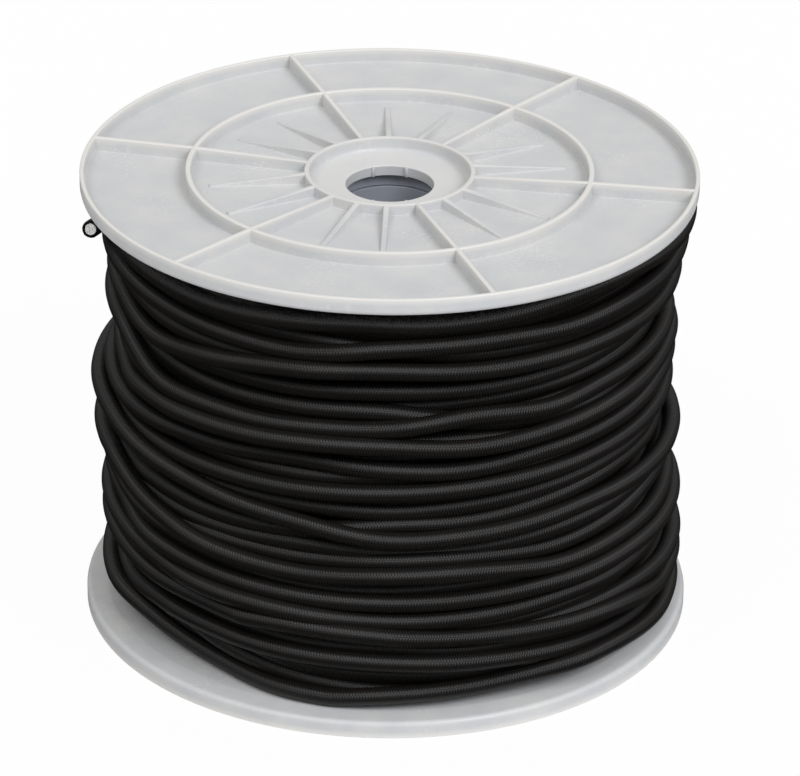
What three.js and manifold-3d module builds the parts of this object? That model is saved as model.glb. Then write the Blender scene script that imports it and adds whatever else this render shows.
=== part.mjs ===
// Reel of shock cord: two ribbed flanges on a barrel, wound with braided elastic cord whose cut end shows.
// Millimetres, +Z up along the barrel, base at z = 0, front of the reel towards -Y.
import * as THREE from "three";
import { mergeVertices } from "three/addons/utils/BufferGeometryUtils.js";
import Module from "manifold-3d";

const wasm = await Module();
wasm.setup();

// Reel
const REEL_DIAMETER = 260;
const REEL_HEIGHT = 201;
const SEGMENTS = 48; // round the axis, for every turned piece
const GAP = 0.35; // clearance between pieces

// Flange, with depths measured inwards from its rim plane
const RIM_R = REEL_DIAMETER / 2;
const RIM_WALL = 1.8;
const RIM_WALL_DEPTH = 5.2; // straight part of the rim's outer wall
const RIM_ROUND_R = 127.7; // where the rounded edge meets the sloping border
const RIM_ROUND_DEPTH = 7.5;
const RIM_MID_R = 129.3;
const RIM_MID_DEPTH = 6.8;
const BORDER_R = 121; // inner edge of the sloping border
const FLANGE_DEPTH = 8.2; // flat inner face
const PLATE_DEPTH = 6; // outer face of the plate, between the ribs
const RING_OUTER_R = 85.8;
const RING_WALL = 2.2;
const COLLAR_OUTER_R = 36;
const COLLAR_INNER_R = 33.9;
const COLLAR_TOP_DEPTH = 1.3;
const HUB_FLOOR_DEPTH = 7.4;
const HUB_FLOOR_R = 28.8;
const COVE_MID_R = 32.6;
const COVE_MID_DEPTH = 6.1;
const COVE_TOP_DEPTH = 2.9;
const BORE_R = 18.5;
const LIP_DEPTH = 12.1; // lower edge of the bore's lip and of the boss
const BOSS_R = 31;
const SLEEVE_INNER_R = 22.3;
const SLEEVE_OUTER_R = 25;
const SLEEVE_DEPTH = 18.2;

// Ribs of a flange, at angles in degrees from the right
const RIB_ROOT = 0.4; // how far a rib's foot runs into the plate and walls
const LONG_RIB_THICKNESS = 2.1;
const LONG_RIBS = [51, 110, 167, 228, 289, 351];
const SHORT_RIB_THICKNESS = 2.5;
const SHORT_RIB_TIP_R = 76;
const SHORT_RIBS = [11, 31, 70, 91, 129, 148, 186, 208, 248, 268, 309, 330];

// Barrel
const BARREL_R = 36;
const BARREL_BORE_R = 21.5;

// Cord and winding
const CORD_R = 3.75;
const STEP = 360 / SEGMENTS;
const WINDING_ROWS = 76;
const TAUT_PASSES = 20;
const WIDEST_TURN = 125.6; // centre radius that no turn passes, so that the winding stays inside the rims
const FLOOR_DROP = 3; // from the centre of the lower turns to the surface seen between them
const SHOULDER = 6; // height over which that surface falls away beside a flange
const SHOULDER_DROP = 5;

// Centre radius of the lower turns by height and by side of the reel.
const LOWER_RADIUS = [
  { z: 15, left: 107.2, front: 113, right: 107.4, back: 110 },
  { z: 24, left: 106.5, front: 113, right: 113, back: 112 },
  { z: 34, left: 106.3, front: 113, right: 125.4, back: 114 },
  { z: 40, left: 110.5, front: 113.5, right: 121, back: 114 },
  { z: 48, left: 112, front: 114, right: 108.6, back: 114 },
  { z: 55, left: 112.2, front: 114, right: 110.8, back: 114 },
  { z: 60, left: 112, front: 114, right: 112.6, back: 114 },
  { z: 67, left: 117.5, front: 114, right: 112.8, back: 114 },
  { z: 75, left: 114.6, front: 114.5, right: 117.5, back: 114 },
  { z: 80, left: 114, front: 114.5, right: 118, back: 114 },
  { z: 90, left: 114.4, front: 115, right: 114, back: 115 },
  { z: 97, left: 112.5, front: 114.5, right: 114, back: 114.5 },
  { z: 104, left: 108.3, front: 114, right: 112.6, back: 114 },
  { z: 112, left: 109.6, front: 114, right: 110, back: 114 },
  { z: 120, left: 111.5, front: 114, right: 111, back: 114 },
  { z: 129, left: 113.8, front: 114, right: 112, back: 113.5 },
  { z: 137, left: 108.1, front: 113.5, right: 116.5, back: 113 },
  { z: 143, left: 108.8, front: 113.7, right: 119, back: 113 },
  { z: 150, left: 109.6, front: 114, right: 112, back: 113 },
  { z: 157, left: 113, front: 114, right: 110, back: 113 },
  { z: 165, left: 113, front: 114, right: 116.5, back: 113 },
  { z: 172, left: 112.5, front: 114, right: 120, back: 113 },
  { z: 190, left: 109, front: 113, right: 118, back: 112 },
];

// Heights of the turns at nine stations, in degrees round from the front, left to right. They are read off a
// cylinder seen from above, so a turn that lies deeper than the cylinder is lower by its depth times the slope.
const SIGHT_SLOPE = 0.495;
const STATIONS = [-72, -54, -36, -18, 0, 18, 36, 54, 72];
const LOWER_TURNS = [
  [187.2, 187.5, 187, 185.5, 183, 183, 184, 185.5, 187],
  [179.4, 179.6, 179.2, 178.6, 175, 171.3, 170.2, 169.8, 168],
  [168, 165, 165.4, 167, 165.5, 163.5, 163, 162.5, 161],
  [153, 153, 154.4, 155.2, 156.4, 155.5, 155, 154.8, 153.5],
  [146, 145.8, 145.6, 146.6, 146.9, 140.5, 136.2, 133.7, 130],
  [133.5, 133.5, 133.5, 133.5, 133.8, 132.5, 128, 126.5, 123.5],
  [114, 115, 116, 116.3, 117.3, 116.5, 116, 116, 116],
  [107, 107, 108, 108.5, 109, 109.5, 109.5, 109.5, 109],
  [100.5, 99.9, 101.3, 102.3, 101.8, 102.8, 103.2, 102.8, 101.5],
  [84, 87.3, 88.2, 90.5, 95.3, 95.3, 97, 98, 97],
  [80.5, 80.5, 82, 84.3, 83.2, 82.7, 82.6, 82.8, 83.2],
  [76, 75, 77.6, 77.9, 79.3, 78.6, 74.5, 75, 78],
  [77.5, 70.2, 66.9, 65.1, 65.2, 66, 64, 63, 63],
  [55, 55.5, 57, 57, 57, 57, 56.5, 56, 56],
  [49, 47.8, 47, 47, 46.3, 46, 45.3, 45.2, 46],
  [38, 38.5, 39, 39.5, 40, 40.5, 40, 38.5, 36],
  [46, 44.5, 40.6, 38.7, 38.5, 36, 33, 30, 27],
  [36, 36, 33, 27, 25.9, 24.4, 23.6, 22, 21],
  [31, 30.5, 25.5, 20.8, 18, 16, 14, 13, 13],
];
const UPPER_TURNS = [
  [175.5, 172.3, 171.7, 171.1, 175, 176, 174.8, 175, 173.5],
  [158.5, 155.3, 159.6, 164.2, 165.2, 163.2, 162.4, 161.8, 160.5],
  [148, 137.5, 137.2, 138, 139.3, 143.2, 141.4, 141, 140.5],
  [126, 128.8, 130.8, 132, 131.3, 128.8, 129.8, 132, 132],
  [114.5, 117, 121.4, 123.6, 122.8, 121, 121, 121.8, 124],
  [106, 107.5, 108.5, 109, 110, 110.8, 111.2, 111.3, 111],
  [107.5, 103, 98, 94, 88.5, 88.8, 89.4, 89.3, 88],
  [86, 78.3, 72.5, 70.4, 72.4, 72, 66.2, 65.3, 64.5],
  [67, 63.3, 60.6, 59.6, 59.4, 59, 58.6, 58.4, 58],
  [56, 54.7, 54, 53, 50.9, 50.4, 50.6, 50, 50.3],
  [47, 45.4, 46.3, 46.1, 44.6, 40.8, 37.6, 34.3, 26],
  [28, 32.4, 33.1, 32.7, 31.8, 29.8, 25.8, 21.2, 18],
  [24, 18.8, 16.3, 13, 15.7, 17.3, 18.3, 17.3, 13.5],
];
const LAST_TURN = [184, 183.8, 183.2, 184.7, 187.2, 188.3, 188.5, 188.3, 187];
const LAST_TURN_END = 240; // degrees round, where the loose end leaves the winding

// The strands in the order in which they are wound, with the angles and heights at their two hidden ends and
// their depth below the cylinder of the readings. A strand keeps its centre line the contact distance away from
// the turns already wound; the lower turns sink between one another.
const STRANDS = [
  { turns: LOWER_TURNS, contact: 4.5, depth: 7, start: -180, startZ: 187.5, end: 180, endZ: 13 },
  { turns: UPPER_TURNS, contact: 7.2, depth: 1.5, start: -180, startZ: 178, end: 180, endZ: 13 },
  { turns: [LAST_TURN], contact: 7.2, depth: 1.5, start: -90, startZ: 181, end: LAST_TURN_END, endZ: 186.5 },
];
const EMERGING = 20; // degrees over which a strand comes up from between the ones below it
const BURIED = 6; // how far below the lower turns it starts
const LOWEST_TURN = FLANGE_DEPTH + CORD_R + GAP;

// Loose end, from where it leaves the winding to the cut.
const TAIL_PATH = [
  [-109.4, 44.2, 186.3],
  [-115.4, 26, 184.7],
  [-118.6, 8, 183.3],
  [-120.2, -8, 182.6],
  [-121.6, -20, 182.7],
  [-124, -30, 184.7],
];
const TAIL_SIDES = 10;
const CORE_R = 2.5;
const CORE_LENGTH = 0.6;

const plastic = new THREE.MeshStandardMaterial({ color: 0xd0d2d4, roughness: 0.45 });
const braid = new THREE.MeshStandardMaterial({ color: 0x262422, roughness: 0.8 });
const rubber = new THREE.MeshStandardMaterial({ color: 0xe6e4dc, roughness: 0.7 });

const radians = (degrees) => (degrees * Math.PI) / 180;

function solid(geometry) {
  const g = geometry.clone();
  g.deleteAttribute("normal");
  g.deleteAttribute("uv");
  const merged = mergeVertices(g, 1e-4);
  return new wasm.Manifold(
    new wasm.Mesh({
      numProp: 3,
      vertProperties: merged.attributes.position.array,
      triVerts: new Uint32Array(merged.index.array),
    }),
  );
}

function geometryOf(body) {
  const mesh = body.getMesh();
  const g = new THREE.BufferGeometry();
  g.setAttribute("position", new THREE.BufferAttribute(new Float32Array(mesh.vertProperties), 3));
  g.setIndex(new THREE.BufferAttribute(new Uint32Array(mesh.triVerts), 1));
  return g;
}

function named(name, geometry, material) {
  geometry.computeVertexNormals();
  const mesh = new THREE.Mesh(geometry, material);
  mesh.name = name;
  return mesh;
}

// Turns a closed profile of [radius, height] points about Z.
function turned(profile) {
  const points = [...profile, profile[0]].map(([r, z]) => new THREE.Vector2(r, z));
  return new THREE.LatheGeometry(points, SEGMENTS).rotateX(Math.PI / 2);
}

// An upright rib through a side profile of [radius, height] points, centred on its angle.
function rib(side, angle, thickness) {
  const shape = new THREE.Shape(side.map(([r, z]) => new THREE.Vector2(r, z)));
  return new THREE.ExtrudeGeometry(shape, { depth: thickness, bevelEnabled: false })
    .translate(0, 0, -thickness / 2)
    .rotateX(Math.PI / 2)
    .rotateZ(radians(angle));
}

// The flange moulding with its rim plane at z = 0 and its inner face below.
function flange() {
  const profile = [
    [RIM_R, 0],
    [RIM_R - RIM_WALL, 0],
    [RIM_R - RIM_WALL, -PLATE_DEPTH],
    [RING_OUTER_R, -PLATE_DEPTH],
    [RING_OUTER_R, 0],
    [RING_OUTER_R - RING_WALL, 0],
    [RING_OUTER_R - RING_WALL, -PLATE_DEPTH],
    [COLLAR_OUTER_R, -PLATE_DEPTH],
    [COLLAR_OUTER_R, -COLLAR_TOP_DEPTH],
    [COLLAR_INNER_R, -COLLAR_TOP_DEPTH],
    [COLLAR_INNER_R, -COVE_TOP_DEPTH],
    [COVE_MID_R, -COVE_MID_DEPTH],
    [HUB_FLOOR_R, -HUB_FLOOR_DEPTH],
    [BORE_R, -HUB_FLOOR_DEPTH],
    [BORE_R, -LIP_DEPTH],
    [SLEEVE_INNER_R, -LIP_DEPTH],
    [SLEEVE_INNER_R, -SLEEVE_DEPTH],
    [SLEEVE_OUTER_R, -SLEEVE_DEPTH],
    [SLEEVE_OUTER_R, -LIP_DEPTH],
    [BOSS_R, -LIP_DEPTH],
    [BOSS_R, -FLANGE_DEPTH],
    [BORDER_R, -FLANGE_DEPTH],
    [RIM_ROUND_R, -RIM_ROUND_DEPTH],
    [RIM_MID_R, -RIM_MID_DEPTH],
    [RIM_R, -RIM_WALL_DEPTH],
  ];
  const foot = -PLATE_DEPTH - RIB_ROOT;
  const collarEnd = COLLAR_OUTER_R - RIB_ROOT;
  const ringEnd = RING_OUTER_R - RING_WALL / 2;
  const innerPart = [
    [collarEnd, foot],
    [ringEnd, foot],
    [ringEnd, 0],
    [collarEnd, -COLLAR_TOP_DEPTH],
  ];
  const outerPart = [
    [ringEnd, foot],
    [RIM_R - RIM_WALL / 2, foot],
    [RIM_R - RIM_WALL / 2, 0],
    [ringEnd, 0],
  ];
  const shortPart = [
    [collarEnd, foot],
    [SHORT_RIB_TIP_R, foot],
    [SHORT_RIB_TIP_R, -PLATE_DEPTH],
    [collarEnd, -COLLAR_TOP_DEPTH],
  ];
  let body = solid(turned(profile));
  for (const angle of LONG_RIBS)
    for (const part of [innerPart, outerPart]) body = body.add(solid(rib(part, angle, LONG_RIB_THICKNESS)));
  for (const angle of SHORT_RIBS) body = body.add(solid(rib(shortPart, angle, SHORT_RIB_THICKNESS)));
  return geometryOf(body);
}

// The tube between the flanges, counterbored at both ends for their bosses and sleeves.
function barrel() {
  const endHalf = [
    [BARREL_R, FLANGE_DEPTH + GAP],
    [BOSS_R + GAP, FLANGE_DEPTH + GAP],
    [BOSS_R + GAP, LIP_DEPTH + GAP],
    [SLEEVE_OUTER_R + GAP, LIP_DEPTH + GAP],
    [SLEEVE_OUTER_R + GAP, SLEEVE_DEPTH + GAP],
    [BARREL_BORE_R, SLEEVE_DEPTH + GAP],
  ];
  const top = endHalf.map(([r, depth]) => [r, REEL_HEIGHT - depth]);
  const bottom = [...endHalf].reverse();
  return turned([...top, ...bottom]);
}

// Radius to the centre of the lower turns at an angle from the front, in degrees, and a height.
function lowerRadius(angle, z) {
  const rows = LOWER_RADIUS;
  const k = Math.max(1, rows.findIndex((row) => row.z > z));
  const above = z >= rows.at(-1).z ? rows.at(-1) : rows[k];
  const below = z >= rows.at(-1).z ? rows.at(-1) : rows[k - 1];
  const t = above === below ? 0 : Math.max(0, (z - below.z) / (above.z - below.z));
  const at = (side) => below[side] * (1 - t) + above[side] * t;
  const c = Math.cos(radians(angle));
  const s = Math.sin(radians(angle));
  return c * c * at(c > 0 ? "front" : "back") + s * s * at(s > 0 ? "right" : "left");
}

// Height of a turn between its first and last station, by a smooth curve through the stations.
function heightInFront(turn, angle) {
  const pitch = STATIONS[1] - STATIONS[0];
  const u = (angle - STATIONS[0]) / pitch;
  const k = Math.min(STATIONS.length - 2, Math.floor(u));
  const t = u - k;
  const at = (i) => turn[Math.min(turn.length - 1, Math.max(0, i))];
  const [a, b, c, d] = [at(k - 1), at(k), at(k + 1), at(k + 2)];
  const bend = 2 * a - 5 * b + 4 * c - d;
  return b + (t * (c - a + t * (bend + t * (3 * (b - c) + d - a)))) / 2;
}

// Height of a strand at an angle that counts up over all its turns.
function heightOf(strand, angle) {
  const { turns, startZ, endZ } = strand;
  const reach = STATIONS.at(-1);
  const k = Math.floor((angle + 360 - reach) / 360);
  const local = angle - 360 * k;
  if (local >= -reach && k < turns.length) return heightInFront(turns[k], local);
  const from = k > 0 ? turns[k - 1].at(-1) : startZ;
  const to = k < turns.length ? turns[k][0] : endZ;
  const s = (local + 360 - reach) / (360 - 2 * reach);
  return from + (to - from) * s * s * (3 - 2 * s);
}

// Lays the strands one after another: each rests on the turns below it and spans their gaps in a straight line.
function wound() {
  const columns = Array.from({ length: SEGMENTS }, () => []);
  for (const strand of STRANDS) {
    const count = Math.round((360 * (strand.turns.length - 1) + strand.end - strand.start) / STEP);
    const first = Math.round((strand.start + 180) / STEP);
    const points = [];
    for (let i = 0; i <= count; i++) {
      const angle = strand.start + i * STEP;
      const drop = SIGHT_SLOPE * strand.depth * Math.max(0, Math.cos(radians(angle)));
      const z = Math.max(LOWEST_TURN, heightOf(strand, angle) - drop);
      const buried = i * STEP < EMERGING;
      const rest = lowerRadius(angle, z) - (buried ? BURIED : 0);
      points.push({ column: (first + i) % SEGMENTS, z, rest, buried });
    }
    for (const [i, point] of points.entries()) {
      const earlier = i < SEGMENTS ? [] : [{ z: points[i - SEGMENTS].z, r: points[i - SEGMENTS].rest }];
      const below = point.buried ? [] : [...columns[point.column], ...earlier];
      for (const other of below) {
        const lift = strand.contact ** 2 - (other.z - point.z) ** 2;
        if (lift > 0) point.rest = Math.max(point.rest, other.r + Math.sqrt(lift));
      }
      point.r = point.rest;
    }
    const chord = Math.cos(radians(STEP)) / 2;
    for (let pass = 0; pass < TAUT_PASSES; pass++)
      for (let i = 1; i < points.length - 1; i++)
        points[i].r = Math.max(points[i].rest, chord * (points[i - 1].r + points[i + 1].r));
    for (const point of points) columns[point.column].push({ ...point, r: Math.min(point.r, WIDEST_TURN) });
  }
  return columns;
}

// The wound cord as one solid: a thick ring whose face follows the turns.
function winding() {
  const columns = wound();
  const bottom = FLANGE_DEPTH + GAP;
  const top = REEL_HEIGHT - FLANGE_DEPTH - GAP;
  const positions = [];
  const index = [];
  const put = (r, angle, z) => positions.push(r * Math.sin(radians(angle)), -r * Math.cos(radians(angle)), z);
  for (let j = 0; j < SEGMENTS; j++) {
    const angle = -180 + j * STEP;
    put(BARREL_R + GAP, angle, bottom);
    for (let i = 0; i <= WINDING_ROWS; i++) {
      const z = bottom + ((top - bottom) * i) / WINDING_ROWS;
      const edge = Math.min(z - bottom, top - z, SHOULDER) / SHOULDER;
      let r = lowerRadius(angle, z) - FLOOR_DROP - SHOULDER_DROP * (1 - edge) ** 2;
      for (const turn of columns[j])
        if (Math.abs(turn.z - z) < CORD_R) r = Math.max(r, turn.r + Math.sqrt(CORD_R ** 2 - (turn.z - z) ** 2));
      put(r, angle, z);
    }
    put(BARREL_R + GAP, angle, top);
  }
  const ring = WINDING_ROWS + 3;
  for (let j = 0; j < SEGMENTS; j++)
    for (let i = 0; i < ring; i++) {
      const next = (j + 1) % SEGMENTS;
      const [a, b] = [j * ring + i, next * ring + i];
      const [c, d] = [next * ring + ((i + 1) % ring), j * ring + ((i + 1) % ring)];
      index.push(a, b, c, a, c, d);
    }
  const g = new THREE.BufferGeometry();
  g.setAttribute("position", new THREE.Float32BufferAttribute(positions, 3));
  g.setIndex(index);
  return g;
}

const tailCurve = new THREE.CatmullRomCurve3(TAIL_PATH.map((p) => new THREE.Vector3(...p)));

function tail() {
  const section = new THREE.Shape();
  for (let i = 0; i < TAIL_SIDES; i++) {
    const a = (2 * Math.PI * i) / TAIL_SIDES;
    section[i ? "lineTo" : "moveTo"](CORD_R * Math.cos(a), CORD_R * Math.sin(a));
  }
  section.closePath();
  return new THREE.ExtrudeGeometry(section, {
    steps: TAIL_PATH.length,
    extrudePath: tailCurve,
    bevelEnabled: false,
  });
}

// The rubber core at the cut, a thin disc just off the end face of the tail.
function core() {
  const along = tailCurve.getTangent(1);
  const centre = tailCurve.getPoint(1).addScaledVector(along, GAP + CORE_LENGTH / 2);
  return new THREE.CylinderGeometry(CORE_R, CORE_R, CORE_LENGTH, 2 * TAIL_SIDES)
    .applyQuaternion(new THREE.Quaternion().setFromUnitVectors(new THREE.Vector3(0, 1, 0), along))
    .translate(centre.x, centre.y, centre.z);
}

const reel = new THREE.Group();
reel.add(named("flange_top", flange().translate(0, 0, REEL_HEIGHT), plastic));
reel.add(named("flange_bottom", flange().rotateX(Math.PI), plastic));
reel.add(named("barrel", barrel(), plastic));
reel.add(named("cord_winding", winding(), braid));
reel.add(named("cord_tail", tail(), braid));
reel.add(named("cord_core", core(), rubber));

export default reel;
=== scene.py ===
"""Reel of black shock cord: a grey moulded reel wound with braided elastic cord, its cut end just under the
upper flange. Metres, +Z up along the reel's axis, front of the reel towards -Y."""
import math
import random

import bmesh
import bpy
import numpy as np
from mathutils import Matrix, Vector


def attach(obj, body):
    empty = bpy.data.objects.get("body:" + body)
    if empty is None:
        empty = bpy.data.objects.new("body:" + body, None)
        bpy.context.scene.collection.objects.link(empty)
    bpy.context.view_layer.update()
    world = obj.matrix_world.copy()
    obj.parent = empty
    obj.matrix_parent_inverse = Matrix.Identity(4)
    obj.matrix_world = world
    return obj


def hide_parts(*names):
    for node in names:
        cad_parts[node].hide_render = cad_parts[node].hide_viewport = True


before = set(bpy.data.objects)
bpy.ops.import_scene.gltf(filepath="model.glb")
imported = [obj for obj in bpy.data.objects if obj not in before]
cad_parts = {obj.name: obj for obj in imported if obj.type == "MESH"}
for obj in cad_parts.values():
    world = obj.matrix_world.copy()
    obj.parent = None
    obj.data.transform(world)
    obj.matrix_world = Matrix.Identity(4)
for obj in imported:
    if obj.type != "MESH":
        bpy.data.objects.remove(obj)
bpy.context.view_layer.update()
draw = random.Random(8)

MM = 0.001

# Reel, millimetres. Depths are from the rim plane of a flange towards the middle of the reel.
REEL_HEIGHT = 201
RIM_OUTER_R, RIM_INNER_R = 130, 128.2
RING_OUTER_R, RING_INNER_R = 85.8, 83.6
COLLAR_OUTER_R, COLLAR_INNER_R = 36, 33.9
BORE_R = 18.5
SLEEVE_OUTER_R, SLEEVE_INNER_R = 25, 22.3
BOSS_R = 31
BARREL_OUTER_R, BARREL_INNER_R = 36, 21.5
COLLAR_DEPTH = 1.3  # the collar's top
PLATE_DEPTH = 6  # the outer face of the plate
RECESS_DEPTH = 7.4  # the floor of the hub's recess
FLANGE_DEPTH = 8.2  # the inner face of the flange
BOSS_DEPTH = 12.1  # the end of the boss, and of the lip in the bore
SLEEVE_DEPTH = 18.2  # the end of the sleeve that plugs into the barrel
GAP = 0.35  # between pieces that fit together

# Cord, millimetres
CORD_R = 3.75
BRAID_ROWS = 10  # rows of short ribs round the cord
BRAID_PITCH = 1.18  # from rib to rib along the cord
BRAID_LEAN = 0.25  # how far a rib leans over the width of its row, in ribs
BRAID_DEPTH = 0.2

# How finely round forms are divided
TURN_SIDES = 14
INNER_SIDES = 10
TAIL_SIDES = 24
YARN_SIDES = 5
RUBBER_SIDES = 8
FLANGE_SIDES = 240
BARREL_SIDES = 120
DRUM_SIDES = 96
CORNER_STEPS = 3


# Camera


def aim(camera, at, roll):
    """Points the camera at a place, turned about its own axis by roll."""
    way = (at - camera.location).to_track_quat("-Z", "Y").to_matrix().to_4x4()
    camera.matrix_world = Matrix.Translation(camera.location) @ way @ Matrix.Rotation(roll, 4, "Z")


def photographers_camera():
    """A long lens from a little above the reel, as the reel was photographed."""
    distance, elevation, roll = 2.1678, math.radians(26.34), math.radians(0.659)
    shift_right, shift_down = 0.0053, 0.0026
    middle = Vector((0, 0, REEL_HEIGHT * MM / 2))
    data = bpy.data.cameras.new("camera")
    data.lens, data.sensor_width = 227.8, 36
    data.clip_start, data.clip_end = 0.1, 30
    camera = bpy.data.objects.new("camera", data)
    bpy.context.scene.collection.objects.link(camera)
    camera.location = middle + distance * Vector((0, -math.cos(elevation), math.sin(elevation)))
    right, above = Vector((1, 0, 0)), Vector((0, math.sin(elevation), math.cos(elevation)))
    aim(camera, middle + shift_right * right - shift_down * above, roll)
    bpy.context.scene.camera = camera


# Mesh helpers


def piece(name, verts, faces, material, node, uvs=None, smooth=True):
    """A mesh of its own that rides on the reel and stands for a CAD node."""
    mesh = bpy.data.meshes.new(name)
    mesh.from_pydata([tuple(v) for v in verts], [], faces)
    if uvs is not None:
        layer = mesh.uv_layers.new(name="cord")
        layer.data.foreach_set("uv", np.asarray(uvs, dtype=np.float32).ravel())
    mesh.polygons.foreach_set("use_smooth", [smooth] * len(mesh.polygons))
    mesh.materials.append(material)
    made = bpy.data.objects.new(name, mesh)
    bpy.context.scene.collection.objects.link(made)
    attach(made, "root")
    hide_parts(node)
    return made


def rounded(outline):
    """Rounds the corners of a closed outline of (radius, height, rounding) rows."""
    points = []
    for i, (r, z, rounding) in enumerate(outline):
        here = Vector((r, z))
        if not rounding:
            points.append(here)
            continue
        back = (Vector(outline[i - 1][:2]) - here).normalized()
        on = (Vector(outline[(i + 1) % len(outline)][:2]) - here).normalized()
        half = back.angle(on) / 2
        centre = here + (back + on).normalized() * (rounding / math.sin(half))
        start = here + back * (rounding / math.tan(half)) - centre
        end = here + on * (rounding / math.tan(half)) - centre
        turn = start.angle(end)
        for k in range(CORNER_STEPS + 1):
            t = k / CORNER_STEPS
            points.append(
                centre + (start * math.sin((1 - t) * turn) + end * math.sin(t * turn)) / math.sin(turn)
            )
    return points


def turned(outline, segments):
    """Vertices and faces of a closed outline turned about the reel's axis, in metres."""
    verts, faces = [], []
    count = len(outline)
    for j in range(segments):
        a = 2 * math.pi * j / segments
        for r, z in outline:
            verts.append(Vector((r * math.cos(a), r * math.sin(a), z)) * MM)
        for i in range(count):
            near, far = j * count, (j + 1) % segments * count
            faces.append((near + i, far + i, far + (i + 1) % count, near + (i + 1) % count))
    return verts, faces


def facing_out(verts, faces):
    """Turns every shell of a mesh so that its faces point outwards."""
    mesh = bpy.data.meshes.new("shells")
    mesh.from_pydata([tuple(v) for v in verts], [], faces)
    shells = bmesh.new()
    shells.from_mesh(mesh)
    bmesh.ops.recalc_face_normals(shells, faces=shells.faces)
    shells.to_mesh(mesh)
    shells.free()
    faces = [tuple(p.vertices) for p in mesh.polygons]
    bpy.data.meshes.remove(mesh)
    return faces


# Winding

LOWER_RADIUS = [  # centre radius of the lower turns: height, left, front, right, back
    (15, 107.2, 113, 107.4, 110),
    (24, 106.5, 113, 113, 112),
    (34, 106.3, 113, 125.4, 114),
    (40, 110.5, 113.5, 121, 114),
    (48, 112, 114, 108.6, 114),
    (55, 112.2, 114, 110.8, 114),
    (60, 112, 114, 112.6, 114),
    (67, 117.5, 114, 112.8, 114),
    (75, 114.6, 114.5, 117.5, 114),
    (80, 114, 114.5, 118, 114),
    (90, 114.4, 115, 114, 115),
    (97, 112.5, 114.5, 114, 114.5),
    (104, 108.3, 114, 112.6, 114),
    (112, 109.6, 114, 110, 114),
    (120, 111.5, 114, 111, 114),
    (129, 113.8, 114, 112, 113.5),
    (137, 108.1, 113.5, 116.5, 113),
    (143, 108.8, 113.7, 119, 113),
    (150, 109.6, 114, 112, 113),
    (157, 113, 114, 110, 113),
    (165, 113, 114, 116.5, 113),
    (172, 112.5, 114, 120, 113),
    (190, 109, 113, 118, 112),
]

# Heights of the turns, one turn a row, at nine stations round the front, in degrees, left to right.
STATIONS = [-72, -54, -36, -18, 0, 18, 36, 54, 72]
LOWER_TURNS = [
    (187.2, 187.5, 187, 185.5, 183, 183, 184, 185.5, 187),
    (179.4, 179.6, 179.2, 178.6, 175, 171.3, 170.2, 169.8, 168),
    (168, 165, 165.4, 167, 165.5, 163.5, 163, 162.5, 161),
    (153, 153, 154.4, 155.2, 156.4, 155.5, 155, 154.8, 153.5),
    (146, 145.8, 145.6, 146.6, 146.9, 140.5, 136.2, 133.7, 130),
    (133.5, 133.5, 133.5, 133.5, 133.8, 132.5, 128, 126.5, 123.5),
    (114, 115, 116, 116.3, 117.3, 116.5, 116, 116, 116),
    (107, 107, 108, 108.5, 109, 109.5, 109.5, 109.5, 109),
    (100.5, 99.9, 101.3, 102.3, 101.8, 102.8, 103.2, 102.8, 101.5),
    (84, 87.3, 88.2, 90.5, 95.3, 95.3, 97, 98, 97),
    (80.5, 80.5, 82, 84.3, 83.2, 82.7, 82.6, 82.8, 83.2),
    (76, 75, 77.6, 77.9, 79.3, 78.6, 74.5, 75, 78),
    (77.5, 70.2, 66.9, 65.1, 65.2, 66, 64, 63, 63),
    (55, 55.5, 57, 57, 57, 57, 56.5, 56, 56),
    (49, 47.8, 47, 47, 46.3, 46, 45.3, 45.2, 46),
    (38, 38.5, 39, 39.5, 40, 40.5, 40, 38.5, 36),
    (46, 44.5, 40.6, 38.7, 38.5, 36, 33, 30, 27),
    (36, 36, 33, 27, 25.9, 24.4, 23.6, 22, 21),
    (31, 30.5, 25.5, 20.8, 18, 16, 14, 13, 13),
]
UPPER_TURNS = [
    (175.5, 172.3, 171.7, 171.1, 175, 176, 174.8, 175, 173.5),
    (158.5, 155.3, 159.6, 164.2, 165.2, 163.2, 162.4, 161.8, 160.5),
    (148, 137.5, 137.2, 138, 139.3, 143.2, 141.4, 141, 140.5),
    (126, 128.8, 130.8, 132, 131.3, 128.8, 129.8, 132, 132),
    (114.5, 117, 121.4, 123.6, 122.8, 121, 121, 121.8, 124),
    (106, 107.5, 108.5, 109, 110, 110.8, 111.2, 111.3, 111),
    (107.5, 103, 98, 94, 88.5, 88.8, 89.4, 89.3, 88),
    (86, 78.3, 72.5, 70.4, 72.4, 72, 66.2, 65.3, 64.5),
    (67, 63.3, 60.6, 59.6, 59.4, 59, 58.6, 58.4, 58),
    (56, 54.7, 54, 53, 50.9, 50.4, 50.6, 50, 50.3),
    (47, 45.4, 46.3, 46.1, 44.6, 40.8, 37.6, 34.3, 26),
    (28, 32.4, 33.1, 32.7, 31.8, 29.8, 25.8, 21.2, 18),
    (24, 18.8, 16.3, 13, 15.7, 17.3, 18.3, 17.3, 13.5),
]
LAST_TURN = [(184, 183.8, 183.2, 184.7, 187.2, 188.3, 188.5, 188.3, 187)]

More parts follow.
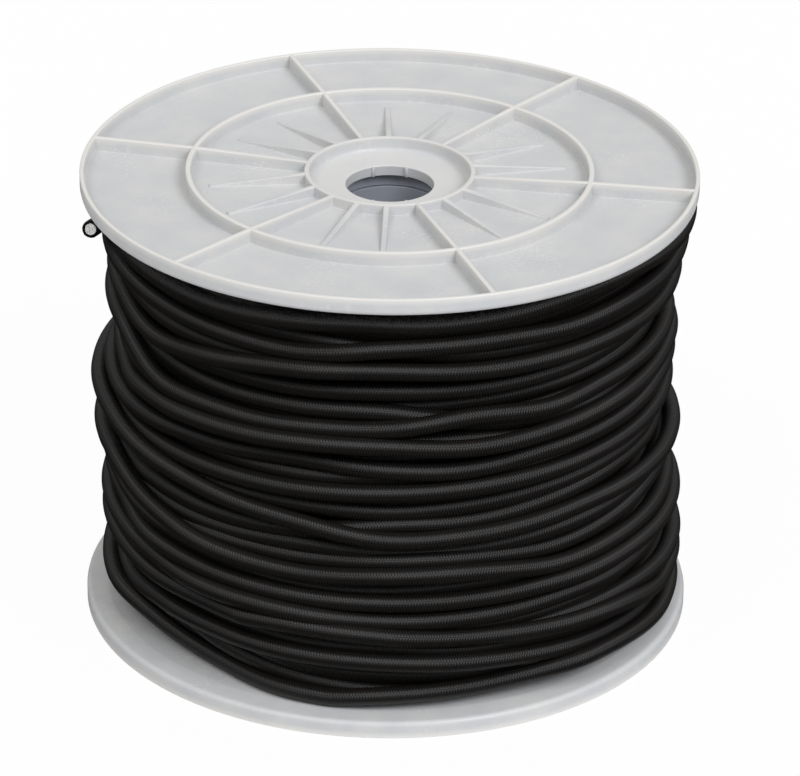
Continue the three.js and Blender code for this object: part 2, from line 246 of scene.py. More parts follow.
# The strands in the order of winding: turns, depth below the cylinder on which the heights are read, contact
# distance to the turns below, angle and height of each end, and whether the last end goes down out of sight.
STRANDS = {
    "lower_turns": dict(
        turns=LOWER_TURNS, depth=7, contact=4.5, start=(-180, 187.5), end=(180, 13), sinks=True
    ),
    "upper_turns": dict(
        turns=UPPER_TURNS, depth=1.5, contact=7.2, start=(-180, 178), end=(180, 13), sinks=True
    ),
    "last_turn": dict(
        turns=LAST_TURN, depth=1.5, contact=7.2, start=(-90, 181), end=(249, 186.5), sinks=False
    ),
}
EMERGING = 20  # degrees over which a strand comes up from between the ones below it, or goes down again
START_BELOW = 6  # how far below the lower turns a strand starts
END_BELOW = 9  # how far a strand goes down at its last end
STEPS_A_TURN = 240
STEP = 360 / STEPS_A_TURN
READING_R = 122  # the cylinder on which the heights are read
SIGHT_SLOPE = 0.495  # fall of the line of sight over its run
WIDEST_TURN = 125.6
LOWEST_TURN = FLANGE_DEPTH + CORD_R + GAP
HIGHEST_TURN = REEL_HEIGHT - LOWEST_TURN
WANDER = 0.5, 1.6  # least and most wander of a turn behind the reel
WANDER_WAVES = 1.5  # from one end of the stations round the back to the other
TAUT_PASSES = 600
STIFF_PASSES = 8

# The turns below the ones that show
INNER_PITCH = 7.9
INNER_DEPTH = 6.6  # below the lower turns
INNER_TUCK = 3  # further in beside a flange
INNER_TUCK_HEIGHT = 6
INNER_STEPS_A_TURN = 96
BURIED_R = 96.7  # the drum of buried layers beneath them


def lower_radius(angle, z):
    """Centre radius of the lower turns, between the rows of the table and round from side to side."""
    rows = LOWER_RADIUS
    z = min(max(z, rows[0][0]), rows[-1][0])
    k = next(i for i in range(1, len(rows)) if z <= rows[i][0])
    t = (z - rows[k - 1][0]) / (rows[k][0] - rows[k - 1][0])
    left, front, right, back = (a + (b - a) * t for a, b in zip(rows[k - 1][1:], rows[k][1:]))
    c, s = math.cos(math.radians(angle)), math.sin(math.radians(angle))
    return c * c * (front if c > 0 else back) + s * s * (right if s > 0 else left)


def height_in_front(turn, angle):
    """Height of a turn on a smooth curve through its stations."""
    u = (angle - STATIONS[0]) / (STATIONS[1] - STATIONS[0])
    k = min(len(STATIONS) - 2, int(u))
    t = u - k
    a, b, c, d = (turn[min(len(turn) - 1, max(0, i))] for i in (k - 1, k, k + 1, k + 2))
    return b + t * (c - a + t * (2 * a - 5 * b + 4 * c - d + t * (3 * (b - c) + d - a))) / 2


def height(strand, angle, wander):
    """Height of a strand at an angle that counts up over its turns; it wanders a little behind the reel."""
    turns, reach = strand["turns"], STATIONS[-1]
    k = math.floor((angle + 360 - reach) / 360)
    local = angle - 360 * k
    if local >= -reach and k < len(turns):
        return height_in_front(turns[k], local)
    start = turns[k - 1][-1] if k else strand["start"][1]
    end = turns[k][0] if k < len(turns) else strand["end"][1]
    s = (local + 360 - reach) / (360 - 2 * reach)
    tall, phase = wander[k]
    sway = tall * math.sin(math.pi * s) ** 2 * math.sin(2 * math.pi * s * WANDER_WAVES + phase)
    return start + (end - start) * s * s * (3 - 2 * s) + sway


def lay(strand, heights, angles, columns):
    """Radii of a strand that rests on the turns already wound and spans their gaps in a straight line."""
    reach = strand["contact"]
    rest = []
    for i, (z, angle) in enumerate(zip(heights, angles)):
        r = lower_radius(angle, z)
        if i * STEP < EMERGING:
            rest.append(r - START_BELOW)
            continue
        below = list(columns[round(angle / STEP) % STEPS_A_TURN])
        if i >= STEPS_A_TURN:
            below.append((heights[i - STEPS_A_TURN], rest[i - STEPS_A_TURN]))
        for other_z, other_r in below:
            lift = reach * reach - (other_z - z) ** 2
            if lift > 0:
                r = max(r, other_r + math.sqrt(lift))
        rest.append(r)
    rest = np.array(rest)
    r = rest.copy()
    chord = math.cos(math.radians(STEP)) / 2
    for _ in range(TAUT_PASSES):
        r[1:-1] = np.maximum(rest[1:-1], chord * (r[:-2] + r[2:]))
    for _ in range(STIFF_PASSES):
        r[1:-1] = (r[:-2] + 2 * r[1:-1] + r[2:]) / 4
    return np.minimum(r, WIDEST_TURN)


def wound_strands():
    """Centre lines of the strands, in metres. The second round reads each height at its own depth."""
    wanders = {
        name: [(draw.uniform(*WANDER), draw.uniform(0, 2 * math.pi)) for _ in range(len(s["turns"]) + 1)]
        for name, s in STRANDS.items()
    }
    radii = {}
    for _ in range(2):
        columns = [[] for _ in range(STEPS_A_TURN)]
        lines = {}
        for name, strand in STRANDS.items():
            first, last = strand["start"][0], strand["end"][0]
            count = round((360 * (len(strand["turns"]) - 1) + last - first) / STEP) + 1
            angles = [first + i * STEP for i in range(count)]
            deep = READING_R - radii[name] if name in radii else np.full(count, strand["depth"])
            heights = []
            for angle, depth in zip(angles, deep):
                drop = SIGHT_SLOPE * depth * max(0, math.cos(math.radians(angle)))
                z = height(strand, angle, wanders[name]) - drop
                heights.append(min(max(z, LOWEST_TURN), HIGHEST_TURN))
            radii[name] = lay(strand, heights, angles, columns)
            if strand["sinks"]:
                steps = round(EMERGING / STEP)
                radii[name][-steps:] -= END_BELOW * np.linspace(0, 1, steps) ** 2
            for angle, z, r in zip(angles, heights, radii[name]):
                columns[round(angle / STEP) % STEPS_A_TURN].append((z, r))
            lines[name] = [on_reel(a, r, z) for a, r, z in zip(angles, radii[name], heights)]
    return lines


def on_reel(angle, r, z):
    """A place by its angle from the front, in degrees, its radius and its height, in millimetres."""
    a = math.radians(angle)
    return Vector((r * math.sin(a), -r * math.cos(a), z)) * MM


def cord_tube(line, sides):
    """A round cord along a line, with the length and the way round, in millimetres, as its UVs."""
    line = np.array([tuple(p) for p in line])
    along = np.gradient(line, axis=0)
    along /= np.linalg.norm(along, axis=1)[:, None]
    out = line * (1, 1, 0)
    out -= along * (out * along).sum(1)[:, None]
    out /= np.linalg.norm(out, axis=1)[:, None]
    up = np.cross(along, out)
    length = np.concatenate([[0], np.linalg.norm(np.diff(line, axis=0), axis=1).cumsum()]) / MM
    round_mm = 2 * math.pi * CORD_R
    a = 2 * np.pi * np.arange(sides) / sides
    ring = np.cos(a)[None, :, None] * out[:, None] + np.sin(a)[None, :, None] * up[:, None]
    verts = (line[:, None] + CORD_R * MM * ring).reshape(-1, 3)
    faces, uvs = [], []
    for i in range(len(line) - 1):
        for j in range(sides):
            k = (j + 1) % sides
            faces.append((i * sides + j, i * sides + k, (i + 1) * sides + k, (i + 1) * sides + j))
            v0, v1 = round_mm * j / sides, round_mm * (j + 1) / sides
            uvs += [(length[i], v0), (length[i], v1), (length[i + 1], v1), (length[i + 1], v0)]
    last = (len(line) - 1) * sides
    faces += [tuple(reversed(range(sides))), tuple(range(last, last + sides))]
    uvs += [(0, 0)] * (2 * sides)
    return verts, faces, uvs


# Materials

# Sizes of their patterns, millimetres
DUST_PATCH = 22.22
FIBRE = 0.7143  # real fibres are finer, and wouldn't show
FLOW_MARK = 18.18
SCUFF_PATCH = 29.41
SCRATCH = 1.667
SKIN_GRAIN = 2.381
RUBBER_GRAIN = 1.111


def linear(hex_colour):
    """A linear colour from an sRGB hex value."""
    parts = [int(hex_colour[i : i + 2], 16) / 255 for i in (0, 2, 4)]
    return tuple(c / 12.92 if c <= 0.04045 else ((c + 0.055) / 1.055) ** 2.4 for c in parts) + (1,)


def add(material, kind, links=None, ramp=(), **settings):
    """Adds a node. Settings are its properties or inputs, links maps an input to another node, one of its
    outputs or a value, and ramp gives the stops of a colour ramp as (place, hex colour)."""
    node = material.node_tree.nodes.new("ShaderNode" + kind)
    for key, value in settings.items():
        if hasattr(node, key):
            setattr(node, key, value)
        else:
            node.inputs[key.replace("_", " ")].default_value = value
    for key, source in (links or {}).items():
        if isinstance(source, (int, float, tuple)):
            node.inputs[key].default_value = source
            continue
        socket = source if isinstance(source, bpy.types.NodeSocket) else source.outputs[0]
        material.node_tree.links.new(socket, node.inputs[key])
    if ramp:
        for stop, (place, colour) in zip(node.color_ramp.elements, ramp):
            stop.position, stop.color = place, linear(colour)
    return node


def new_material(name):
    """A material with nodes, none of them made yet."""
    material = bpy.data.materials.new(name)
    material.use_nodes = True
    material.node_tree.nodes.clear()
    return material


def finish(material, shader):
    """Gives a material its surface."""
    output = add(material, "OutputMaterial", {"Surface": shader})
    output.is_active_output = True
    return material


def braided_polyester():
    """Tightly braided polyester yarn, dyed black: rows of short ribs almost straight across the cord, each
    leaning slightly against those of the next row, with dull tops and nearly black furrows."""
    m = new_material("black_braided_polyester")
    place = add(m, "SeparateXYZ", {0: add(m, "UVMap", uv_map="cord")})
    along, across = place.outputs[0], place.outputs[1]
    row = add(m, "Math", {0: across, 1: 2 * math.pi * CORD_R / BRAID_ROWS}, operation="DIVIDE")
    number = add(m, "Math", {0: row}, operation="FLOOR")
    within = add(m, "Math", {0: row}, operation="FRACT")
    within = add(m, "Math", {0: within, 1: 0.5}, operation="SUBTRACT")
    # Ribs of odd rows lean the other way and lie half a rib further along.
    odd = add(m, "Math", {0: number, 1: 2}, operation="MODULO")
    lean = add(m, "Math", {0: odd, 1: 2 * BRAID_LEAN, 2: -BRAID_LEAN}, operation="MULTIPLY_ADD")
    slant = add(m, "Math", {0: within, 1: lean}, operation="MULTIPLY")
    ribs_along = add(m, "Math", {0: along, 1: BRAID_PITCH}, operation="DIVIDE")
    wave = add(m, "Math", {0: ribs_along, 1: slant}, operation="ADD")
    wave = add(m, "Math", {0: odd, 1: 0.5, 2: wave}, operation="MULTIPLY_ADD")
    swing = add(m, "Math", {0: wave, 1: math.pi}, operation="MULTIPLY")
    swing = add(m, "Math", {0: swing}, operation="SINE")
    rib = add(m, "Math", {0: swing}, operation="ABSOLUTE")
    # Each rib drops to half its height at its ends, where it dives under the next row.
    out = add(m, "Math", {0: within}, operation="ABSOLUTE")
    out = add(m, "Math", {0: out, 1: 2}, operation="MULTIPLY")
    edge = add(m, "Math", {0: out, 1: 5}, operation="POWER")
    dome = add(m, "Math", {0: edge, 1: -0.5, 2: 1}, operation="MULTIPLY_ADD")
    relief = add(m, "Math", {0: rib, 1: dome}, operation="MULTIPLY")
    tone = add(m, "ValToRGB", {"Fac": relief}, ramp=[(0.45, "020202"), (1, "28221c")])
    # Dust lies unevenly on the yarn, and its fibres roughen the relief.
    here = add(m, "TexCoord").outputs["Object"]
    uneven = add(m, "TexNoise", {"Vector": here}, Scale=1 / (DUST_PATCH * MM), Detail=3)
    fibre = add(m, "TexNoise", {"Vector": here}, Scale=1 / (FIBRE * MM), Detail=2)
    dust_and_painted_shade = {"Factor": uneven, 6: tone, 7: linear("b9b4ae")}
    dust = add(m, "Mix", dust_and_painted_shade, data_type="RGBA", blend_type="MULTIPLY")
    relief = add(m, "Math", {0: fibre, 1: 0.25, 2: relief}, operation="MULTIPLY_ADD")
    bump = add(m, "Bump", {"Height": relief}, Strength=1.0, Distance=BRAID_DEPTH * MM)
    surface = {"Base Color": dust.outputs[2], "Normal": bump}
    shader = add(m, "BsdfPrincipled", surface, Roughness=0.46, IOR=1.5)
    return finish(m, shader)


def moulded_styrene():
    """High-impact polystyrene from an injection mould: grey, a satin skin with faint flow mottling and
    patches of fine scuffs, with painted highlights that make the tops of the raised edges and the floor of
    the hub paler, and painted shade that makes the plastic darker deep in the bore."""
    m = new_material("grey_moulded_polystyrene")
    half_height = REEL_HEIGHT / 2
    here = add(m, "TexCoord").outputs["Object"]
    flow = add(m, "TexNoise", {"Vector": here}, Scale=1 / (FLOW_MARK * MM), Detail=6, Roughness=0.65)
    tone = add(m, "ValToRGB", {"Fac": flow}, ramp=[(0.32, "cecfd0"), (0.68, "d9d8d5")])
    split = add(m, "SeparateXYZ", {0: here})
    above = add(m, "Math", {0: split.outputs[2], 1: half_height * MM}, operation="SUBTRACT")
    from_middle = add(m, "Math", {0: above}, operation="ABSOLUTE")
    # Painted highlight: the tops of the raised edges are made paler over the last 3 mm below the rim plane.
    low, high = (half_height - 3) * MM, (half_height - 0.3) * MM
    raised = add(m, "MapRange", {"Value": from_middle}, From_Min=low, From_Max=high)
    # Painted highlight: the floor of the hub's recess is made paler, on the outside of the flange alone.
    flat = add(m, "CombineXYZ", {0: split.outputs[0], 1: split.outputs[1]})
    from_axis = add(m, "VectorMath", {0: flat}, operation="LENGTH").outputs["Value"]
    foot, full = (COLLAR_INNER_R - 0.4) * MM, BOSS_R * MM
    hub = add(m, "MapRange", {"Value": from_axis}, From_Min=foot, From_Max=full, To_Max=0.45)
    plate_inside = (half_height - FLANGE_DEPTH + 0.2) * MM
    outside = add(m, "Math", {0: from_middle, 1: plate_inside}, operation="GREATER_THAN")
    hub = add(m, "Math", {0: hub, 1: outside}, operation="MULTIPLY")
    # Both painted highlights together, on the raised edges and on the floor of the hub.
    painted_highlight = add(m, "Math", {0: raised, 1: hub}, operation="MAXIMUM")
    # Fine scratches gather in patches.
    patch = add(m, "TexNoise", {"Vector": here}, Scale=1 / (SCUFF_PATCH * MM), Detail=3)
    patch = add(m, "MapRange", {"Value": patch}, From_Min=0.5, From_Max=0.68, To_Max=0.65)
    scratch = add(m, "TexNoise", {"Vector": here}, Scale=1 / (SCRATCH * MM), Detail=4, Roughness=0.7)
    scratch = add(m, "MapRange", {"Value": scratch}, From_Min=0.52, From_Max=0.62)
    scuff = add(m, "Math", {0: patch, 1: scratch}, operation="MULTIPLY")
    # The paler colour carries the painted highlights and the scuffs together.
    pale = add(m, "Math", {0: painted_highlight, 1: scuff}, operation="MAXIMUM")
    highlights_and_scuffs = add(m, "Mix", {"Factor": pale, 6: tone, 7: linear("ebe8e2")}, data_type="RGBA")
    # Painted shade: the plastic is made darker in the bore beyond its lip.
    low, high = (half_height - BOSS_DEPTH + 0.1) * MM, (half_height - BOSS_DEPTH - 0.2) * MM
    deep = add(m, "MapRange", {"Value": from_middle}, From_Min=low, From_Max=high)
    dust_and_painted_shade = add(m, "Mix", {"Factor": deep, 6: highlights_and_scuffs.outputs[2], 7: linear("a0a3ab")}, data_type="RGBA")
    gloss = add(m, "MapRange", {"Value": flow}, From_Min=0.3, From_Max=0.7, To_Min=0.36, To_Max=0.5)
    skin = add(m, "TexNoise", {"Vector": here}, Scale=1 / (SKIN_GRAIN * MM), Detail=2)
    bump = add(m, "Bump", {"Height": skin}, Strength=0.25, Distance=0.1 * MM)
    surface = {"Base Color": dust_and_painted_shade.outputs[2], "Roughness": gloss, "Normal": bump}
    return finish(m, add(m, "BsdfPrincipled", surface, IOR=1.59))


def cut_rubber():
    """Natural rubber strands, cut across: pale, dull and a little yellow."""
    m = new_material("pale_natural_rubber")
    here = add(m, "TexCoord").outputs["Object"]
    grain = add(m, "TexNoise", {"Vector": here}, Scale=1 / (RUBBER_GRAIN * MM), Detail=2)
    tone = add(m, "ValToRGB", {"Fac": grain}, ramp=[(0, "eeede8"), (1, "ffffff")])
    shader = add(m, "BsdfPrincipled", {"Base Color": tone}, Roughness=0.6, IOR=1.52)
    return finish(m, shader)


# Cords


def wind_cord(material):
    """The wound turns, and the ones beneath them that show in the gaps."""
    for name, line in wound_strands().items():
        verts, faces, uvs = cord_tube(line, TURN_SIDES)
        piece(name, verts, faces, material, "cord_winding", uvs)
    steps = INNER_STEPS_A_TURN
    line = []
    for i in range(int((HIGHEST_TURN - LOWEST_TURN) / INNER_PITCH * steps) + 1):
        angle, z = 360 * i / steps - 180, LOWEST_TURN + INNER_PITCH * i / steps
        clear = min(z - LOWEST_TURN, HIGHEST_TURN - z, INNER_TUCK_HEIGHT) / INNER_TUCK_HEIGHT
        line.append(on_reel(angle, lower_radius(angle, z) - INNER_DEPTH - INNER_TUCK * (1 - clear) ** 2, z))
    verts, faces, uvs = cord_tube(line, INNER_SIDES)
    piece("inner_turns", verts, faces, material, "cord_winding", uvs)


def buried_layers(material):
    """The layers of cord below the inner turns, as one drum that closes the gaps between them."""
    inside, low, high = BARREL_OUTER_R + GAP, FLANGE_DEPTH + GAP, REEL_HEIGHT - FLANGE_DEPTH - GAP
    outline = [(inside, low), (inside, high), (BURIED_R, high), (BURIED_R, low)]
    verts, faces = turned(outline, DRUM_SIDES)
    faces = facing_out(verts, faces)
    uvs = [(BURIED_R * math.atan2(verts[i].y, verts[i].x), verts[i].z / MM) for face in faces for i in face]
    piece("buried_layers", verts, faces, material, "cord_winding", uvs, smooth=False)


def smooth_line(points, count):
    """A smooth curve through a few points that keeps their spacing even."""
    points = [Vector(p) * MM for p in points]
    points = [2 * points[0] - points[1], *points, 2 * points[-1] - points[-2]]
    line = []
    for k in range(1, len(points) - 2):
        p = points[k - 1 : k + 3]
        t = [0]
        for a, b in zip(p, p[1:]):
            t.append(t[-1] + (b - a).length ** 0.5)
        for i in range(count):
            x = t[1] + (t[2] - t[1]) * i / count
            a = [p[j] + (p[j + 1] - p[j]) * ((x - t[j]) / (t[j + 1] - t[j])) for j in range(3)]
            b = [a[j] + (a[j + 1] - a[j]) * ((x - t[j]) / (t[j + 2] - t[j])) for j in range(2)]
            line.append(b[0] + (b[1] - b[0]) * ((x - t[1]) / (t[2] - t[1])))
    return [*line, points[-2]]


TAIL_STEPS = 10  # between two places of its path
TAIL_PATH = [  # millimetres, from where it leaves the winding to the cut
    (-109.4, 44.2, 186.3),
    (-115.4, 26, 184.7),
    (-118.6, 8, 183.3),
    (-120.2, -8, 182.6),
    (-121.6, -20, 182.7),
    (-124, -30, 184.7),
]

# The cut, millimetres
YARNS = 46  # ends of yarn round it
YARN_ROOT = 0.5  # how far the root of a yarn's end lies below the cord's surface and behind the cut
YARN_PAST = 0.3, 1.2  # least and most reach past the cut
YARN_FLARE = -0.5, 0.35  # least and most lean of the tip outwards
YARN_TAPER = [(0, 0.26), (0.6, 0.24), (1, 0.1)]  # share of the length, radius
YARN_JITTER = 0.3  # of the spacing
RUBBER_R = 0.42
RUBBER_RINGS = 3
RUBBER_SPACING = 0.69  # from ring to ring
RUBBER_TURN = 0.3  # from ring to ring, in radians
RUBBER_ROOT = -0.4
RUBBER_PAST = 0.35, 0.85  # least and most reach past the cut


def loose_end(braid, rubber):
    """The cut end of the cord: frayed yarn ends round the bundle of rubber strands."""
    line = smooth_line(TAIL_PATH, TAIL_STEPS)
    verts, faces, uvs = cord_tube(line, TAIL_SIDES)
    tail = piece("cord_end", verts, faces, braid, "cord_tail", uvs)
    along = (line[-1] - line[-2]).normalized()
    strands = rubber_strands(line[-1], along, rubber)
    fray = frayed_yarn(line[-1], along, braid)


def across_cord(along):
    """Two directions square to the cord and to each other."""
    side = along.cross(Vector((0, 0, 1))).normalized()
    return side, side.cross(along)


def outwards(across, angle):
    """The direction at an angle round the cord, in radians."""
    side, up = across
    return side * math.cos(angle) + up * math.sin(angle)


def rod(verts, faces, across, sides, rings):
    """Adds a rod through rings of (centre, radius in millimetres). A last radius of nought makes a point."""
    base, levels = len(verts), len(rings) - 1
    for centre, radius in rings:
        for j in range(sides if radius else 1):
            verts.append(centre + outwards(across, 2 * math.pi * j / sides) * (radius * MM))
    faces.append(tuple(reversed(range(base, base + sides))))
    for level in range(levels):
        for j in range(sides):
            p, q = base + level * sides + j, base + level * sides + (j + 1) % sides
            ahead = (q + sides, p + sides) if rings[level + 1][1] else (base + levels * sides,)
            faces.append((p, q, *ahead))
    if rings[-1][1]:
        faces.append(tuple(range(base + levels * sides, base + (levels + 1) * sides)))


def frayed_yarn(at, along, material):
    """Ends of the braid's yarns round the cut, some longer and flared."""
    across = across_cord(along)
    verts, faces = [], []
    for k in range(YARNS):
        out = outwards(across, 2 * math.pi * (k + draw.uniform(-YARN_JITTER, YARN_JITTER)) / YARNS)
        past, flare = draw.uniform(*YARN_PAST), draw.uniform(*YARN_FLARE)
        rings = []
        for t, radius in YARN_TAPER:
            from_axis = CORD_R - YARN_ROOT + flare * t * t
            forward = (YARN_ROOT + past) * t - YARN_ROOT
            rings.append((at + (out * from_axis + along * forward) * MM, radius))
        rod(verts, faces, across, YARN_SIDES, rings)
    return piece("frayed_yarn", verts, facing_out(verts, faces), material, "cord_tail")


def rubber_strands(at, along, material):
    """Strands in rings round one another, each cut a little nearer or further, with a rounded end."""
    across = across_cord(along)
    verts, faces = [], []
    for ring in range(RUBBER_RINGS + 1):
        count = max(1, 6 * ring)
        for k in range(count):
            out = outwards(across, 2 * math.pi * k / count + RUBBER_TURN * ring)
            centre = at + out * (RUBBER_SPACING * ring * MM)
            cut = draw.uniform(*RUBBER_PAST)
            shape = [(1, RUBBER_ROOT), (1, cut - 0.2), (0.7, cut), (0, cut + 0.05)]
            rings = [(centre + along * (forward * MM), RUBBER_R * share) for share, forward in shape]
            rod(verts, faces, across, RUBBER_SIDES, rings)
    return piece("rubber_strands", verts, facing_out(verts, faces), material, "cord_core")


# Reel

FLANGE_OUTLINE = [  # radius, height from the rim plane, rounding
    (RIM_OUTER_R, 0, 0.5),
    (RIM_INNER_R, 0, 0.5),
    (RIM_INNER_R, -PLATE_DEPTH, 0.4),
    (RING_OUTER_R, -PLATE_DEPTH, 0.3),
    (RING_OUTER_R, 0, 0.5),
    (RING_INNER_R, 0, 0.5),
    (RING_INNER_R, -PLATE_DEPTH, 0.3),
    (COLLAR_OUTER_R, -PLATE_DEPTH, 0.3),
    (COLLAR_OUTER_R, -COLLAR_DEPTH, 0.5),
    (COLLAR_INNER_R, -COLLAR_DEPTH, 0.5),
    (COLLAR_INNER_R, -RECESS_DEPTH, 2),
    (BORE_R, -RECESS_DEPTH, 0.6),
    (BORE_R, -BOSS_DEPTH, 0.3),
    (SLEEVE_INNER_R, -BOSS_DEPTH, 0),
    (SLEEVE_INNER_R, -SLEEVE_DEPTH, 0.3),
    (SLEEVE_OUTER_R, -SLEEVE_DEPTH, 0.3),
    (SLEEVE_OUTER_R, -BOSS_DEPTH, 0),
    (BOSS_R, -BOSS_DEPTH, 0.4),
    (BOSS_R, -FLANGE_DEPTH, 0.3),
    (121, -FLANGE_DEPTH, 6),  # the inner face rises a little towards the rim
    (RIM_OUTER_R, -7.26, 2.3),
]

# Angles of the ribs, in degrees from the right. The spacing isn't quite even.
LONG_RIBS = [51, 110, 167, 228, 289, 351]
SHORT_RIBS = [11, 31, 70, 91, 129, 148, 186, 208, 248, 268, 309, 330]
NUBS = [67.5, 112.5, 247.5, 292.5]  # on the wall of the bore

# Ends of the ribs: radius, height above the plate, thickness. They are buried in the walls that they meet.
FLUSH = 0.04  # how far a rib's top stays below the wall that it runs into
COLLAR_END_R = 34.9
RING_MID_R, RIM_MID_R = (RING_OUTER_R + RING_INNER_R) / 2, (RIM_OUTER_R + RIM_INNER_R) / 2
LONG_AT_COLLAR = COLLAR_END_R, PLATE_DEPTH - COLLAR_DEPTH - FLUSH, 2.1
LONG_AT_RING = RING_MID_R, PLATE_DEPTH - FLUSH, 2.1
LONG_AT_RIM = RIM_MID_R, PLATE_DEPTH - FLUSH, 2.1
SHORT_AT_COLLAR = COLLAR_END_R, PLATE_DEPTH - COLLAR_DEPTH - FLUSH, 2.5
SHORT_TIP = 76, 0.4, 2.1
RIB_END = 0.3  # length of the stretch at each end of a rib that is buried in a wall or shapes its tip
RIB_FOOT = 0.3  # rounding of its feet, and how deep they are buried in the plate
RIB_ROUNDING = 0.45  # of its top
QUARTER = math.pi / 2


def rib(angle, start, end):
    """An upright rib with a rounded top and tight feet, from one end to the other."""
    verts, faces = [], []
    turn = Matrix.Rotation(math.radians(angle), 3, "Z")
    length = end[0] - start[0]
    stations = [0, RIB_END / length, *(k / 6 for k in range(1, 6)), 1 - RIB_END / length, 1]
    for t in stations:
        r, tall, thick = (a + (b - a) * t for a, b in zip(start, end))
        # The roundings get smaller where the rib gets low.
        half, foot = thick / 2, min(RIB_FOOT, 0.45 * tall)
        top = min(RIB_ROUNDING, 0.4 * tall, 0.45 * thick)
        side = [(half + foot, -RIB_FOOT)]
        for a in (0, 0.8, QUARTER):
            side.append((half + foot * (1 - math.sin(a)), foot * (1 - math.cos(a))))
        for a in (0, 0.5, 1.05, QUARTER):
            side.append((half - top * (1 - math.cos(a)), tall - top * (1 - math.sin(a))))
        section = side + [(-x, z) for x, z in reversed(side)]
        for x, z in section:
            verts.append(turn @ (Vector((r, x, z - PLATE_DEPTH)) * MM))
    count = len(section)
    for i in range(len(stations) - 1):
        for j in range(count):
            k = (j + 1) % count
            faces.append((i * count + j, i * count + k, (i + 1) * count + k, (i + 1) * count + j))
    last = (len(stations) - 1) * count
    faces += [tuple(reversed(range(count))), tuple(range(last, last + count))]
    return verts, faces


def nub(angle):
    """A short upright rib on the wall of the bore that centres the reel on its spindle."""
    section = [(0.75, -0.3), (0.7, 0.5), (0.4, 0.85), (-0.4, 0.85), (-0.7, 0.5), (-0.75, -0.3)]
    count = len(section)
    turn = Matrix.Rotation(math.radians(angle), 3, "Z")
    verts = []
    for z in (-RECESS_DEPTH - 0.3, -BOSS_DEPTH + 0.2):
        for y, inward in section:
            verts.append(turn @ (Vector((BORE_R - inward, y, z)) * MM))
    faces = [(j, (j + 1) % count, count + (j + 1) % count, count + j) for j in range(count)]
    return verts, [*faces, tuple(reversed(range(count))), tuple(range(count, 2 * count))]


def flat_faces(moulding):
    """Shades a moulding so that its faces look flat between their rounded edges."""
    moulding.modifiers.new("flat_faces", "WEIGHTED_NORMAL").keep_sharp = False


def mould_flange(name, node, material, place):
    """A whole flange from one mould: the turned body, the long and short ribs and the nubs in the bore."""
    shells = [turned(rounded(FLANGE_OUTLINE), FLANGE_SIDES)]
    for angle in LONG_RIBS:
        shells.append(rib(angle, LONG_AT_COLLAR, LONG_AT_RING))
        shells.append(rib(angle, LONG_AT_RING, LONG_AT_RIM))
    for angle in SHORT_RIBS:
        shells.append(rib(angle, SHORT_AT_COLLAR, SHORT_TIP))
    for angle in NUBS:
        shells.append(nub(angle))
    verts, faces = [], []
    for part_verts, part_faces in shells:
        faces += [tuple(len(verts) + i for i in face) for face in part_faces]
        verts += [place @ v for v in part_verts]
    flat_faces(piece(name, verts, facing_out(verts, faces), material, node))


def bored_barrel(material):
    """The tube between the flanges, counterbored for their bosses and sleeves."""
    half = [
        (BARREL_OUTER_R, FLANGE_DEPTH + GAP),
        (BOSS_R + GAP, FLANGE_DEPTH + GAP),
        (BOSS_R + GAP, BOSS_DEPTH + GAP),
        (SLEEVE_OUTER_R + GAP, BOSS_DEPTH + GAP),
        (SLEEVE_OUTER_R + GAP, SLEEVE_DEPTH + GAP),
        (BARREL_INNER_R, SLEEVE_DEPTH + GAP),
    ]
    outline = [(r, REEL_HEIGHT - depth, 0.25) for r, depth in half]
    outline += [(r, depth, 0.25) for r, depth in reversed(half)]
    verts, faces = turned(rounded(outline), BARREL_SIDES)
    flat_faces(piece("barrel_tube", verts, facing_out(verts, faces), material, "barrel"))


# Studio

ROOM_LOW, ROOM_HIGH = 0.04, 0.66  # brightness of the room round the reel, at its foot and overhead
FLOOR_HALF = 6  # metres
FLOOR_EVENED = 0.96  # share of even white in what the camera sees of the floor


def soft_sun(name, azimuth, elevation, strength, spread, tint):
    """A broad studio light far away: azimuth from the front, positive to the right, in degrees."""
    data = bpy.data.lights.new(name, "SUN")
    data.energy, data.angle, data.color = strength, math.radians(spread), linear(tint)[:3]
    light = bpy.data.objects.new(name, data)
    bpy.context.scene.collection.objects.link(light)
    a, e = math.radians(azimuth), math.radians(elevation)
    towards = Vector((math.sin(a) * math.cos(e), -math.cos(a) * math.cos(e), math.sin(e)))
    light.rotation_euler = (-towards).to_track_quat("-Z", "Y").to_euler()


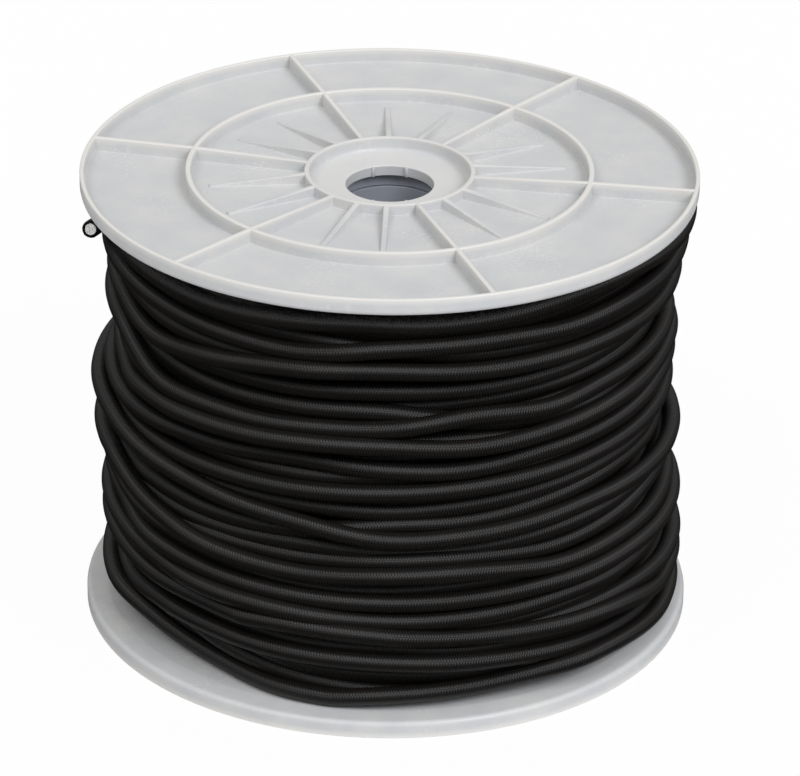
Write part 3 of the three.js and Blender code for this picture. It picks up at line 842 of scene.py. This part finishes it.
def studio_room():
    """A dim room, brighter overhead, that the camera sees as an even and nearly white background."""
    world = bpy.data.worlds.new("studio")
    world.use_nodes = True
    world.node_tree.nodes.clear()
    height = add(world, "SeparateXYZ", {0: add(world, "TexCoord").outputs["Generated"]}).outputs[2]
    # It brightens from just below the horizon to 20 degrees above it.
    room = {"Value": height, "To Min": ROOM_LOW, "To Max": ROOM_HIGH}
    room = add(world, "MapRange", room, From_Min=-0.05, From_Max=0.35)
    seen = add(world, "LightPath").outputs["Is Camera Ray"]
    strength = add(world, "Mix", {0: seen, 2: room, 3: 1}, data_type="FLOAT")
    add(world, "OutputWorld", {"Surface": add(world, "Background", {"Strength": strength})})
    bpy.context.scene.world = world


def white_floor():
    """A white floor that throws light back at the reel and hardly shows a shadow."""
    m = new_material("white_floor")
    lit = add(m, "BsdfDiffuse", {"Color": linear("f0f0f0")})
    seen = add(m, "LightPath").outputs["Is Camera Ray"]
    evened = add(m, "Math", {0: seen, 1: FLOOR_EVENED}, operation="MULTIPLY")
    finish(m, add(m, "MixShader", {0: evened, 1: lit, 2: add(m, "Emission")}))
    m.cycles.emission_sampling = "NONE"
    mesh = bpy.data.meshes.new("floor")
    corners = [(x * FLOOR_HALF, y * FLOOR_HALF, 0) for x, y in ((-1, -1), (1, -1), (1, 1), (-1, 1))]
    mesh.from_pydata(corners, [], [(0, 1, 2, 3)])
    mesh.materials.append(m)
    floor = bpy.data.objects.new("floor", mesh)
    bpy.context.scene.collection.objects.link(floor)
    floor.visible_glossy = False


def studio():
    """Two broad lights in front of the reel, the room and the floor."""
    bpy.context.scene.view_settings.view_transform = "Standard"
    studio_room()
    white_floor()
    soft_sun("right_key", azimuth=40, elevation=40, strength=1.5, spread=26, tint="f5f8ff")
    soft_sun("left_key", azimuth=-35, elevation=48, strength=0.62, spread=26, tint="fbfcff")


photographers_camera()
braid, plastic, rubber = braided_polyester(), moulded_styrene(), cut_rubber()
loose_end(braid, rubber)
wind_cord(braid)
buried_layers(braid)
mould_flange("upper_flange", "flange_top", plastic, Matrix.Translation((0, 0, REEL_HEIGHT * MM)))
mould_flange("lower_flange", "flange_bottom", plastic, Matrix.Rotation(math.pi, 4, "X"))
bored_barrel(plastic)
studio()
